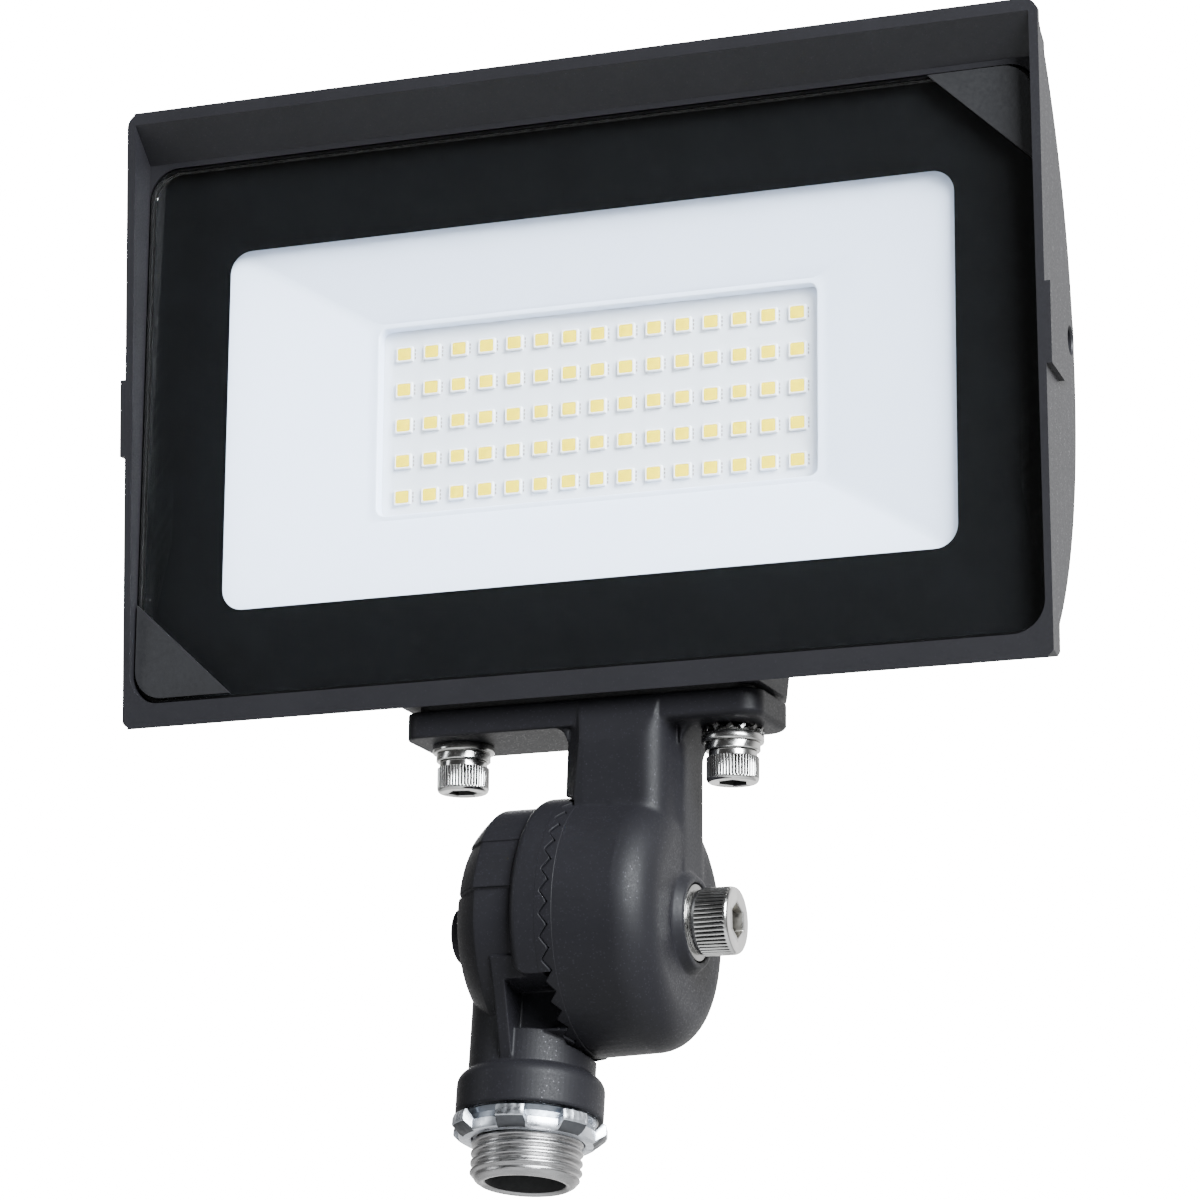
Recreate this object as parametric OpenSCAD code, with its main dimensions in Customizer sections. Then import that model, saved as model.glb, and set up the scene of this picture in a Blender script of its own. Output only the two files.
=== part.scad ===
// LED flood light on a serrated tilting knuckle with a half-inch conduit nipple.
// Millimetres, +Z up. The origin is on the nipple's axis, on the underside of the
// collar that seats on the junction box. X runs to the viewer's right, the light
// shines towards -Y.

/* [Housing] */
// Width of the lamp housing
body_w = 190; // [180:1:200]
// Depth of the sloped visor lip above the glass
visor_drop = 6.4; // [5.4:0.2:6.8]
// Thickness of the front glass
glass_t = 3.2; // [2.6:0.1:3.2]
// Corner radius of the glass
glass_r = 6; // [4:0.5:8]
// Thickness of one cooling fin
fin_t = 2; // [1.6:0.1:3]
// Length of the legs of the triangular corner plates
corner_leg = 22.8; // [14:0.2:24]

/* [Light engine] */
// Clear window printed into the glass, width
window_w = 151.4; // [140:0.2:154]
// Clear window printed into the glass, height
window_h = 74.2; // [68:0.2:76]
// Columns of emitters
led_cols = 15; // [5:1:15]
// Rows of emitters
led_rows = 5; // [2:1:5]
// Distance between emitter columns
led_px = 5.89; // [5:0.01:5.9]
// Distance between emitter rows
led_pz = 7.37; // [6:0.01:7.4]

/* [Knuckle] */
// Downward tilt of the head at rest, in degrees
head_tilt = 7.5; // [0:2.5:20]
// Radius of the serrated knuckle halves
knuckle_r = 25.1; // [24.6:0.1:25.4]
// Number of serrations round the knuckle
teeth = 36; // [24:4:40]
// Height of one serration
tooth_h = 0.8; // [0.5:0.1:0.8]
// Distance between the two head bolts
bolt_gap = 55.4; // [52:0.2:58]

/* [Nipple] */
// Length of the threaded nipple
nipple_l = 12.7; // [11:0.1:16]
// Radius over the thread crests
nipple_r = 10.6; // [10.4:0.05:10.67]
// Radius of the wireway through the nipple
bore_r = 7.6; // [6.5:0.1:8]

/* [Hidden] */
$fn = 96;
e = 0.01;

kx = 11.2;            // housing centre, to the right of the nipple's axis
kz = 36.9;            // knuckle axis above the collar's underside

// head frame: origin on the knuckle axis below the middle of the housing
z_lo = 42.6;          // underside of the front rim
z_hi = 168.9;         // top of the front rim
lean = 2.577;         // the rim's face leans forward at the top
yf_lo = -14;          // rim face at its lower edge
seat_y = -7.6;        // ledge behind the glass gasket
gl_y0 = -9 - glass_t; // front of the glass
led_y = 2.3;          // heat sink face that the LED board sits on
wall_y = 6;           // back of that wall
win_z = 103.1;        // middle of the clear window
taper = 0.08;         // the sides draw in by this much per mm of depth
front_y = -7.4;       // face of the reflector's flange
refl_y = -6.4;        // back of the reflector's flange
lip_lo = -18.6;       // the reflector's opening, below and above the window's middle
lip_hi = 19.8;
lead_z = 73;          // height of the hole for the LED leads
board_screw_pos = [for (x = [-53, -10, 10, 53], z = [-22.3, 23.6]) [x, z]];
col_h = 8.6;          // collar height
xs = -1;              // plane of the serrations

module in_head() { translate([kx, 0, kz]) rotate([head_tilt, 0, 0]) children(); }
module in_base() { translate([kx, 0, kz]) children(); }

// a prism along X of a profile drawn as (y, z)
module along_x(x0, x1) { translate([x0, 0, 0]) rotate([90, 0, 90]) linear_extrude(x1 - x0) children(); }
// a prism along Y, from y0 to y1, of a profile drawn as (x, z)
module along_y(y0, y1) { translate([0, y1, 0]) rotate([90, 0, 0]) linear_extrude(y1 - y0) children(); }
// a cylinder along X and along Y
module cyl_x(r, x0, x1) { translate([x0, 0, 0]) rotate([0, 90, 0]) cylinder(r = r, h = x1 - x0); }
module cyl_y(r, y0, y1) { translate([0, y1, 0]) rotate([90, 0, 0]) cylinder(r = r, h = y1 - y0); }
// a rectangle from corner to corner with true round corners
module rrect(x0, y0, x1, y1, r) {
  translate([x0 + r, y0]) square([x1 - x0 - 2 * r, y1 - y0]);
  translate([x0, y0 + r]) square([x1 - x0, y1 - y0 - 2 * r]);
  for (x = [x0 + r, x1 - r], y = [y0 + r, y1 - r]) translate([x, y]) circle(r = r);
}
// a body of revolution about X of a profile drawn as (radius, x)
module spin_x() { rotate([0, 90, 0]) rotate_extrude() children(); }

// ---------------------------------------------------------------- housing

w = body_w / 2;

// plan of a body whose sides draw in towards the back; g makes it prouder
module side_plan(g) {
  translate([0, 0, 20]) linear_extrude(170)
    polygon([[-(w + g + taper * 43), -60], [w + g + taper * 43, -60],
      [w + g - taper * 57, 40], [-(w + g - taper * 57), 40]]);
}

// side profile of the two end plates: an arc to the visor, a tighter one to the chin
module end_profile() {
  intersection() {
    union() {
      intersection() { translate([-78.8, 97]) circle(r = 91, $fn = 180); translate([-60, 97 - e]) square([90, 80]); }
      intersection() { translate([-52.8, 97]) circle(r = 65, $fn = 180); translate([-60, z_lo]) square([90, 97 - z_lo]); }
    }
    translate([-60, z_lo]) square([90, z_hi - z_lo]);
  }
}

// side profile of the body between the end plates
module core_profile() {
  polygon([[-60, z_lo], [-13.9, z_lo], [-10, 43.6], [-7.6, 45], [2, 48.8], [wall_y, 54], [wall_y, 120], [-60, 120]]);
  intersection() {
    translate([-45, 115]) circle(r = 60, $fn = 180);
    translate([-60, 115]) square([60 + wall_y, z_hi - 115]);
  }
}

module fin_profile() {
  intersection() {
    translate([-92, 102]) circle(r = 110, $fn = 180);
    translate([-12, 50]) square([60, 114]);
  }
}

// everything in front of the leaning rim face
module front_cut() {
  translate([0, yf_lo, z_lo]) rotate([lean, 0, 0]) translate([-120, -60, -40]) cube([240, 60, 240]);
}

// side view of the threaded pad on each end plate
module boss_profile() {
  polygon([[-40, 97.9], [-4.1, 97.9], [1.1, 100.1], [4, 102.2], [5.4, 104.6], [5.8, 107.6], [5.5, 110.6], [4.8, 112.3], [2.8, 113.6], [-1.6, 114.3], [-4.8, 114.3], [-19.5, 113.5], [-40, 113.5]]);
}

module pad_plan() {
  polygon([[-41, -11], [41, -11], [41, -5], [39, 0], [34.8, 10.5], [-34.8, 10.5], [-39, 0], [-41, -5]]);
}

module housing_solid() {
  difference() {
    union() {
      // end plates
      intersection() {
        along_x(-120, 120) end_profile();
        side_plan(0);
        difference() {
          translate([-120, -60, 20]) cube([240, 120, 170]);
          translate([-w + 6, 2, 20]) cube([2 * w - 12, 60, 170]);
        }
        along_y(-60, 60) rrect(-w - 0.6, z_lo, w + 0.6, z_hi, 3);
      }
      // body between them
      intersection() {
        along_x(-100, 100) core_profile();
        translate([0, 0, 20]) linear_extrude(170)
          polygon([[-(w - 1.3), -60], [w - 1.3, -60], [w - 1.3, seat_y - 2], [w - 6, wall_y], [-(w - 6), wall_y], [-(w - 1.3), seat_y - 2]]);
      }
      // front rim, with round corners
      intersection() {
        along_y(-60, seat_y) union() { rrect(-w - 0.2, z_lo, w + 0.2, z_hi - 20, 3); rrect(-w - 0.2, z_lo + 20, w + 0.2, z_hi, 3); }
        side_plan(0);
        along_x(-120, 120) union() {
          end_profile();
          intersection() { core_profile(); translate([-60, z_lo]) square([120, 60]); }
          polygon([[-60, 150], [-17.2, 150], [-18.1, z_hi + 1], [-60, z_hi + 1]]);
        }
      }
      // threaded pads on the end plates
      for (s = [-1, 1]) {
        intersection() {
          along_x(s > 0 ? 85 : -105, s > 0 ? 105 : -85) boss_profile();
          side_plan(1.1);
        }
        translate([0, 2.4, 107.7]) cyl_x(5.2, s > 0 ? 83 : -92, s > 0 ? 92 : -83);
      }
      // cooling fins
      for (i = [-9:9]) along_x(i * 9 - fin_t / 2, i * 9 + fin_t / 2) fin_profile();
      // pad over the bracket, flared towards the housing
      intersection() {
        along_y(-11, 10.5) polygon([[-36.5, 43.5], [36.5, 43.5], [41, 47], [41, 56], [-41, 56], [-41, 47]]);
        translate([0, 0, 43]) linear_extrude(14) pad_plan();
      }
      // driver compartment on the back
      along_y(0, 24) rrect(-41, 53.4, 41, 114, 5);
    }
    front_cut();
  }
}

module housing() {
  color("#3a3b3d") in_head() difference() {
    housing_solid();
    // glass pocket, open to the front
    along_y(-60, seat_y) rrect(-w + 1.6, 47.4, w - 1.6, 158.9, glass_r + 0.4);
    // sloped visor
    along_x(-w + 1.6, w - 1.6) polygon([[-12.4, 120], [-60, 120],
      [-60, 160 + 47.6 * visor_drop / 7.2], [-12.4, 160]]);
    // light engine cavity, with solid corners for the reflector screws
    difference() {
      along_y(seat_y - e, led_y) rrect(-84, 57, 84, 149, 5);
      for (x = [-1, 1], z = [-1, 1]) along_y(refl_y, 5)
        translate([x * 80.8, win_z + z * 42.9]) square([7.6, 8], center = true);
    }
    // driver compartment, open at the back
    along_y(wall_y, 30) rrect(-35, 57, 35, 109, 4);
    // wireway from the bracket into the compartment
    translate([9, 2, 40]) cylinder(r = 4.5, h = 9);
    translate([4.2, -2, 47.5]) cube([9.6, 11.5, 6.5]);
    translate([4.2, wall_y, 47.5]) cube([9.6, 3.5, 11]);
    // hole for the LED leads
    translate([-20, 0, lead_z]) cyl_y(3.5, led_y - 1, wall_y + 1);
    // tapped holes for the bracket, and in the side pads
    for (s = [-1, 1]) {
      translate([s * bolt_gap / 2, 0, 43]) cylinder(r = 3.05, h = 11);
      translate([0, 2.4, 107.7]) cyl_x(2.5, s > 0 ? 86 : -100, s > 0 ? 100 : -86);
      translate([s * (w + 0.6), 2.4, 107.7]) rotate([0, -90 * s, 0]) cylinder(r1 = 3.6, r2 = 2.5, h = 1.6);
      for (z = [57.2, 110.8]) translate([s * 37.6, 0, z]) cyl_y(1.55, 14, 26);
    }
    for (p = board_screw_pos) translate([p[0], 0, win_z + p[1]]) cyl_y(1.3, led_y - e, led_y + 2.6);
    for (x = [-1, 1], z = [-1, 1]) translate([x * 79.3, 0, win_z + z * 41]) cyl_y(1.3, refl_y - e, refl_y + 7);
    for (s = [-1, 1]) translate([s * 28, 0, 62.5]) cyl_y(1.3, wall_y - 2.8, wall_y + e);
    translate([0, 0, 62.5]) cyl_y(1.8, wall_y - 2.8, wall_y + e);
  }
}

module rear_cover() {
  color("#3a3b3d") in_head() difference() {
    union() {
      along_y(25, 27.2) rrect(-41, 53.4, 41, 114, 5);
      for (x = [-27:9:27]) translate([x - 1, 27.1, 60]) cube([2, 1.4, 46]);
    }
    for (x = [-37.6, 37.6], z = [57.2, 110.8]) translate([x, 0, z]) cyl_y(1.75, 24, 30);
  }
}

module rear_cover_gasket() {
  color("#1c1c1c") in_head() difference() {
    along_y(24, 25) rrect(-40.6, 53.8, 40.6, 113.6, 4.6);
    along_y(23, 26) rrect(-35.4, 57.4 - 0.8, 35.4, 109.4, 4);
    for (x = [-37.6, 37.6], z = [57.2, 110.8]) translate([x, 0, z]) cyl_y(1.75, 23, 26);
  }
}

// pan head screw along Y: seat at y = 0, shank towards -Y
module pan_screw_y(rs, l, rh, hh) {
  difference() {
    union() { cyl_y(rs, -l, 0.01); cyl_y(rh, 0, hh); }
    for (a = [0, 90]) rotate([0, a, 0]) translate([-rh * 0.6, hh * 0.5, -0.35]) cube([rh * 1.2, hh, 0.7]);
  }
}

module rear_cover_screws() {
  color("#9a9da0") in_head()
    for (x = [-37.6, 37.6], z = [57.2, 110.8]) translate([x, 27.2, z]) pan_screw_y(1.5, 12, 2.8, 2.0);
}

module glass() {
  color([0.75, 0.85, 0.86, 0.35]) in_head() along_y(gl_y0, -9) rrect(-w + 2, 48, w - 2, 158.4, glass_r);
}

// opaque fired-on border at the back of the glass
module glass_border() {
  color("#111214") in_head() difference() {
    along_y(-9, -8.8) rrect(-w + 2.3, 48.3, w - 2.3, 158.1, glass_r - 0.3);
    along_y(-9.5, -8) rrect(-window_w / 2, win_z - window_h / 2, window_w / 2, win_z + window_h / 2, 4.5);
  }
}

module glass_gasket() {
  color("#202122") in_head() difference() {
    along_y(-8.8, seat_y) rrect(-w + 2.4, 48.4, w - 2.4, 158, glass_r - 0.4);
    along_y(-9.5, -7) rrect(-84.6, 57.4, 84.6, 148.6, 5);
  }
}

// thin triangular plate over a corner of the glass; the corner is at the origin
module corner_plate_2d() {
  intersection() {
    rrect(-corner_leg - 20, -corner_leg - 20, 0, 0, glass_r);
    polygon([[-corner_leg, 2], [2, 2], [2, -corner_leg + 1.7]]);
  }
}

module corner_plates() {
  color("#46484a") in_head() {
    translate([w - 2.9, 0, 158.5]) along_y(gl_y0 - 0.8, gl_y0) corner_plate_2d();
    translate([-w + 2.1, 0, 48.7]) rotate([0, 180, 0]) along_y(gl_y0 - 0.8, gl_y0) corner_plate_2d();
  }
}

// funnel between the reflector's flange and its lip; yl is the lip's depth
module funnel(yl) {
  k = (38.2 + lip_lo) / (-1.6 - front_y);
  kt = (38.2 - lip_hi) / (-1.6 - front_y);
  kx2 = (76.5 - 45.8) / (-1.6 - front_y);
  intersection() {
    translate([0, 0, 20]) linear_extrude(170)
      polygon([[-45.8, yl], [45.8, yl], [45.8 + kx2 * (yl + 20), -20], [-45.8 - kx2 * (yl + 20), -20]]);
    translate([0, 0, win_z]) along_x(-160, 160)
      polygon([[yl, lip_lo], [yl, lip_hi], [-20, lip_hi + kt * (yl + 20)], [-20, lip_lo - k * (yl + 20)]]);
  }
}

module reflector() {
  color("#eef0f2") in_head() difference() {
    union() {
      along_y(front_y, refl_y) rrect(-82, win_z - 44, 82, win_z + 44, 4);
      intersection() {
        funnel(-0.4);
        along_y(front_y, -0.4) rrect(-77.4, win_z - 39.2, 77.4, win_z + 39.2, 2);
      }
      along_y(-1.6, 0.6) rrect(-47.1, win_z + lip_lo - 1.3, 47.1, win_z + lip_hi + 1.3, 2.5);
    }
    funnel(-1.6);
    along_y(-3, 2) rrect(-45.8, win_z + lip_lo, 45.8, win_z + lip_hi, 1.8);
    for (x = [-1, 1], z = [-1, 1]) translate([x * 79.3, 0, win_z + z * 41]) cyl_y(1.45, -9, -5);
  }
}

module reflector_screws() {
  color("#b4b6b8") in_head() for (x = [-1, 1], z = [-1, 1])
    translate([x * 79.3, front_y, win_z + z * 41]) rotate([0, 0, 180]) pan_screw_y(1.2, 5.5, 2.1, 0.9);
}

module led_board() {
  color("#f2f3f4") in_head() {
    difference() {
      along_y(0.7, led_y) rrect(-56, win_z - 25, 56, win_z + 26.4, 2);
      for (p = board_screw_pos) translate([p[0], 0, win_z + p[1]]) cyl_y(1.6, 0, 3);
    }
    // two-pole terminal below the emitters
    translate([-23, -0.7, 79.2]) cube([6, 1.5, 2.4]);
  }
}

module leds() {
  color("#f4e27a") in_head()
    for (i = [0:led_cols - 1], j = [0:led_rows - 1])
      translate([(i - (led_cols - 1) / 2) * led_px - 1.75, -0.1, win_z + 0.15 + (j - (led_rows - 1) / 2) * led_pz - 1.5])
        cube([3.5, 0.8, 3.0]);
}

module led_board_screws() {
  color("#b4b6b8") in_head()
    for (p = board_screw_pos) translate([p[0], 0.7, win_z + p[1]])
      rotate([0, 0, 180]) pan_screw_y(1.25, 4.0, 2.1, 1.1);
}

module driver() {
  color("#2c2f33") in_head() difference() {
    union() {
      along_y(wall_y, 19) rrect(-31, 79, 31, 107, 2);
      for (s = [-1, 1]) along_y(wall_y, wall_y + 1.6) rrect(s > 0 ? 24.8 : -33, 58.5, s > 0 ? 33 : -24.8, 82, 1.5);
    }
    for (s = [-1, 1]) translate([s * 28, 0, 62.5]) cyl_y(1.6, 5, 9);
  }
}

module driver_screws() {
  color("#b4b6b8") in_head()
    for (s = [-1, 1]) translate([s * 28, wall_y + 1.6, 62.5]) pan_screw_y(1.25, 4.2, 2.3, 1.6);
}

// a quarter bend in the plane x = const about its centre, from angle a
// (0 points towards +Y, 90 towards +Z)
module bend_x(rb, rw, a) {
  rotate([a, 0, 0]) rotate([90, 0, 90]) rotate_extrude(angle = 90) translate([rb, 0]) circle(r = rw, $fn = 24);
}

// one lead: down out of the driver, forward through the grommet, up to the board
module one_lead(x) {
  r = 0.6;
  translate([x, 13, lead_z + 4]) cylinder(r = r, h = 79 - lead_z - 4, $fn = 24);
  translate([x, 9, lead_z + 4]) bend_x(4, r, -90);
  translate([x, 0, lead_z]) rotate([-90, 0, 0]) translate([0, 0, 1.3]) cylinder(r = r, h = 7.7, $fn = 24);
  translate([x, 1.3, lead_z + 1.5]) bend_x(1.5, r, 180);
  translate([x, -0.2, lead_z + 1.5]) cylinder(r = r, h = 79.2 - lead_z - 1.5, $fn = 24);
}

module led_leads() { color("#8a1f1f") in_head() { one_lead(-21.3); one_lead(-18.7); } }

module wire_grommet() {
  color("#1b1b1b") in_head() difference() {
    translate([-20, 0, lead_z]) union() {
      cyl_y(3.4, led_y - 0.9, wall_y + 0.9);
      cyl_y(4.4, led_y - 0.9, led_y);
      cyl_y(4.4, wall_y, wall_y + 0.9);
    }
    for (x = [-21.3, -18.7]) translate([x, 0, lead_z]) cyl_y(0.7, 0, 10);
  }
}

module ground_screw() {
  color("#3f8f4a") in_head() translate([0, wall_y, 62.5]) pan_screw_y(1.75, 2.6, 3.2, 2.2);
}

// ---------------------------------------------------------------- bracket and knuckle

module plate_2d() {
  rrect(-36.3, -10.5, 36.3, 5, 4);
  rrect(-36.3, -5, 36.3, 10.5, 5);
}

module bracket_gasket() {
  color("#1c1d1e") in_head() difference() {
    translate([0, 0, 42.5]) linear_extrude(1) rrect(-34, -10, 34, 10, 4);
    for (s = [-1, 1]) translate([s * bolt_gap / 2, 0, 42]) cylinder(r = 3.3, h = 2);
    translate([9, 2, 42]) cylinder(r = 4.8, h = 2);
  }
}

// half of the turning knuckle: radius r, x measured outwards from the serrated
// plane; the wall draws in by draft per mm, and its outer edge is a wide round
module half_profile(r, depth, edge, draft) {
  r1 = r - draft * (depth - edge);
  polygon([[0, 0], [r, 0], [r1, depth - edge], [r1 - edge, depth - edge], [r1 - edge, depth], [0, depth]]);
  intersection() {
    translate([r1 - edge, depth - edge]) circle(r = edge, $fn = 120);
    translate([r1 - edge - e, depth - edge - e]) square([edge + 1, edge + 1]);
  }
}

// a ring of radial serrations that stands on the plane x = 0 towards -X
module serrations(r0, r1) {
  wd = 2 * r1 * tan(180 / teeth);
  for (i = [0:teeth - 1]) rotate([i * 360 / teeth, 0, 0])
    translate([0, 0, r0]) linear_extrude(r1 - r0 - 0.2)
      polygon([[0.3, -wd / 2], [0, -wd / 2], [-tooth_h, 0], [0, wd / 2], [0.3, wd / 2]]);
}

// plan of the wire post between the plate and the knuckle
module post_2d() {
  translate([-2.6, -12]) square([15.8, 20.5]);
  translate([13.2, -7.5]) circle(r = 4.5);
  translate([10, -7.5]) square([7.7, 16]);
  translate([16, -3]) circle(r = 3.3);
  translate([10, -3]) square([9.3, 9.5]);
  polygon([[12, -9], [17.45, -9], [18.05, -6.6], [18.75, -4.4], [19.25, -2.6], [12, -2.6]]);
  translate([17.3, 6.5]) circle(r = 2);
  translate([10, 5]) square([7.3, 3.5]);
}

module knuckle_upper() {
  tb = xs + 0.85;
  color("#3a3b3d") in_head() difference() {
    union() {
      translate([0, 0, 37.3]) linear_extrude(5.2) plate_2d();
      difference() {
        translate([0, 0, 6]) linear_extrude(36.5) post_2d();
        // clear of the toothed ring of the fixed half
        cyl_x(knuckle_r + 0.5, -5, tb);
        // two facets down the left front edge; the slender one widens downwards
        translate([1.75, -12, 0]) rotate([0, 0, -10]) translate([-20, -20, 0]) cube([20, 20, 60]);
        translate([-0.41, -11.7, 19.8]) rotate([0, 4.98, 0]) rotate([0, 0, -41]) translate([-20, -20, -30]) cube([20, 20, 80]);
        // the post leans back into the plate's front
        translate([0, -12, 34]) rotate([-10, 0, 0]) translate([-10, -10, 0]) cube([40, 10, 20]);
      }
      // fillets under the plate, either side of the post
      translate([0, 8.5, 0]) rotate([90, 0, 0]) linear_extrude(15) difference() {
        translate([19, 33.3]) square([4.3, 4.2]);
        translate([23.3, 33.3]) circle(r = 4);
      }
      translate([0, 8.5, 0]) rotate([90, 0, 0]) linear_extrude(18) difference() {
        translate([-5.1, 34.8]) square([2.8, 2.6]);
        translate([-5.1, 34.8]) circle(r = 2.5);
      }
      translate([tb, 0, 0]) spin_x() half_profile(knuckle_r - 0.5, 19.05 - tb, 7.6, 0.035);
      // raised seat round the clamp bolt
      translate([19, 0, 0]) rotate([0, 90, 0]) cylinder(r1 = 10, r2 = 8.7, h = 1.9);
      // turned so that a tooth points straight up at rest
      translate([tb, 0, 0]) rotate([-head_tilt, 0, 0]) serrations(20, knuckle_r - 0.5);
    }
    // bearing face for the clamp washer
    cyl_x(7.6, 19.9, 30);
    cyl_x(4.35, -5, 30);
    // wire chamber round the bolt, open at the serrated face
    difference() { cyl_x(16.5, -3, 12.5); cyl_x(7, -4, 13); }
    // relief inside the serrations
    difference() { cyl_x(20, -3, xs + 0.95); cyl_x(7, -4, 2); }
    translate([9, 2, 12]) cylinder(r = 4.5, h = 40);
    for (s = [-1, 1]) translate([s * bolt_gap / 2, 0, 30]) cylinder(r = 3.3, h = 20);
  }
}

// socket head screw along Z: seat at z = 0, head below, shank above
module socket_screw(rs, l, rh, hh, af) {
  difference() {
    union() {
      cylinder(r = rs, h = l);
      translate([0, 0, -hh + 0.5]) cylinder(r = rh, h = hh - 0.5);
      translate([0, 0, -hh]) cylinder(r1 = rh - 0.5, r2 = rh, h = 0.5);
    }
    translate([0, 0, -hh - 1]) cylinder(d = af / cos(30), h = hh * 0.5 + 1, $fn = 6);
  }
}

// left stack: flat washer, spring washer; right stack: star washer, flat, spring
z_fl = 37.3 - 1.6;
z_sl = z_fl - 1.6;
z_st = 37.3 - 1.7;
z_fr = z_st - 1.6;
z_sr = z_fr - 1.6;

module head_bolts() {
  color("#a9abad") in_head() {
    translate([-bolt_gap / 2, 0, z_sl]) socket_screw(2.95, 18, 5.05, 6, 5);
    translate([bolt_gap / 2, 0, z_sr]) socket_screw(2.95, 18, 5.05, 6, 5);
  }
}

module ring_z(ro, ri, z0, z1) { translate([0, 0, z0]) difference() { cylinder(r = ro, h = z1 - z0); translate([0, 0, -1]) cylinder(r = ri, h = z1 - z0 + 2); } }

module head_flat_washers() {
  color("#b5b7b9") in_head() {
    translate([-bolt_gap / 2, 0, 0]) ring_z(6, 3.2, z_fl, 37.3);
    translate([bolt_gap / 2, 0, 0]) ring_z(6, 3.2, z_fr, z_st);
  }
}

// split ring: a narrow slanted gap
module split_ring(ro, ri, z0, z1, gap) {
  difference() {
    ring_z(ro, ri, z0, z1);
    translate([0, 0, (z0 + z1) / 2]) rotate([0, 35, 0]) translate([-gap / 2, 0, -5]) cube([gap, ro + 2, 10]);
  }
}

module head_spring_washers() {
  color("#8e9092") in_head() {
    translate([-bolt_gap / 2, 0, 0]) rotate([0, 0, 150]) split_ring(5.3, 3.15, z_sl, z_fl, 0.8);
    translate([bolt_gap / 2, 0, 0]) rotate([0, 0, 60]) split_ring(5.3, 3.15, z_sr, z_fr, 0.8);
  }
}

// star washer: a thin ring with twisted teeth that bite into the plate
module head_star_washer() {
  color("#b5b7b9") in_head() translate([bolt_gap / 2, 0, z_st]) {
    ring_z(4.6, 3.2, 0, 0.9);
    for (i = [0:13]) rotate([0, 0, i * 360 / 14]) intersection() {
      translate([4, -1.5, 0]) cube([1.9, 3, 1.7]);
      translate([5, 0, 0.85]) rotate([28, 0, 0]) cube([2.4, 1.4, 1.0], center = true);
    }
  }
}

// fixed half: domed drum with a toothed ring; the drum's front steps in twice,
// and each step ends a little further out
module lower_half() {
  tb = xs - 0.85;
  difference() {
    union() {
      cyl_x(knuckle_r, -6.4, tb);
      translate([-6.4, 0, 0]) spin_x() intersection() {
        translate([0, -1.6]) square([knuckle_r, 1.6 + e]);
        union() { translate([0, -1.6]) square([knuckle_r - 1.6, 2]); translate([knuckle_r - 1.6, 0]) circle(r = 1.6); }
      }
    }
    // its end at the front, below the axis, has a round corner
    along_y(-40, -10.5) difference() {
      translate([-9, -40]) square([9, 28.6]);
      translate([-4.9, -14.6]) square([5, 4]);
      translate([-4.9, -11.5]) circle(r = 3.1);
      translate([-5, -11.5]) square([5, 2]);
    }
  }
  for (k = [0:2]) intersection() {
    cyl_x([23.55, 23.15, 22.5][k], [-19.9, -20.5, -21.6][k], tb);
    translate([1.6, 0, 0]) sphere(r = [29.45, 29.05, 28.45][k], $fn = 180);
    translate([-40, -30, [12, 2, -30][k]]) cube([45, 60, [30, 10 + e, 32 + e][k]]);
  }
}

module knuckle_lower() {
  tb = xs - 0.85;
  ax = -kx;
  zc = -kz;
  color("#3a3b3d") in_base() difference() {
    union() {
      difference() {
        lower_half();
        // the toothed ring is cut back at the front, below the axis
        translate([-10.6, -40, -40]) cube([9.4, 29.5, 25.4]);
      }
      intersection() {
        // half a pitch off the turning half's, so both interleave at rest
        translate([tb, 0, 0]) mirror([1, 0, 0]) rotate([180 / teeth, 0, 0]) serrations(20, knuckle_r);
        difference() { cyl_x(40, -5, 5); translate([-12.2, -40, -40]) cube([14, 29.5, 25.4]); }
      }
      // round end over the tapped hole
      cyl_x(5.75, -27.1, -18);
      translate([-27.7, 0, 0]) rotate([0, 90, 0]) cylinder(r1 = 5.15, r2 = 5.75, h = 0.61);
      // neck on the nipple's axis, kept clear of the turning half
      difference() {
        translate([ax, 0, zc + col_h - 1]) cylinder(r = 12.1, h = 16);
        cyl_x(knuckle_r + 0.5, tb, 20);
      }
      // web between the drum and the neck
      intersection() {
        union() {
          translate([-12.9, -24, zc + col_h - 0.5]) cube([2.4, 24, 22]);
          translate([-12.9, -24, -14.6]) cube([8.3, 24, 6]);
        }
        along_x(-12.9, -4) polygon([[-12.1, -29], [-12.1, -28.3], [-14.6, -22.3], [-17.6, -15.6], [-20.4, -10.7], [0, -10.7], [0, -29]]);
      }
      // collar with a round shoulder
      translate([ax, 0, zc]) rotate_extrude() difference() {
        square([14.06, col_h]);
        translate([11.06, col_h - 3]) difference() { square([4, 4]); circle(r = 3); }
        translate([13.46, 0.6]) rotate(-90) difference() { square([1, 1]); circle(r = 0.6); }
      }
      // threaded nipple; the thread runs out where the locknut sits
      translate([ax, 0, zc - nipple_l]) cylinder(r1 = nipple_r - 1.5, r2 = nipple_r, h = 1.9);
      translate([ax, 0, zc - nipple_l + 1.9]) cylinder(r = nipple_r, h = nipple_l - 1.9 - 4.9);
      translate([ax, 0, zc - 5]) cylinder(r = nipple_r - 0.4, h = 5.1);
    }
    // the recess runs down in front of the neck to a ledge above the collar
    translate([-10.5, -40, -22.3]) cube([12, 30.8, 7.7]);
    // wireway
    translate([ax, 0, zc - nipple_l - 1]) cylinder(r = bore_r, h = 40);
    // wire chamber round the bolt
    difference() { cyl_x(16.2, -17.2, 3); cyl_x(7, -30, 4); }
    // relief inside the serrations, and the seal's groove
    difference() { cyl_x(20, xs - 0.95, 3); cyl_x(7, -30, 4); }
    difference() { cyl_x(19.6, -2.6, 3); cyl_x(17.2, -30, 4); }
    // tapped hole for the clamp bolt
    cyl_x(4.1, -25.4, 5);
  }
}

module knuckle_seal() {
  color("#161616") in_base() translate([-1.5, 0, 0]) spin_x() translate([18.4, 0]) circle(r = 1.08, $fn = 32);
}

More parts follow.
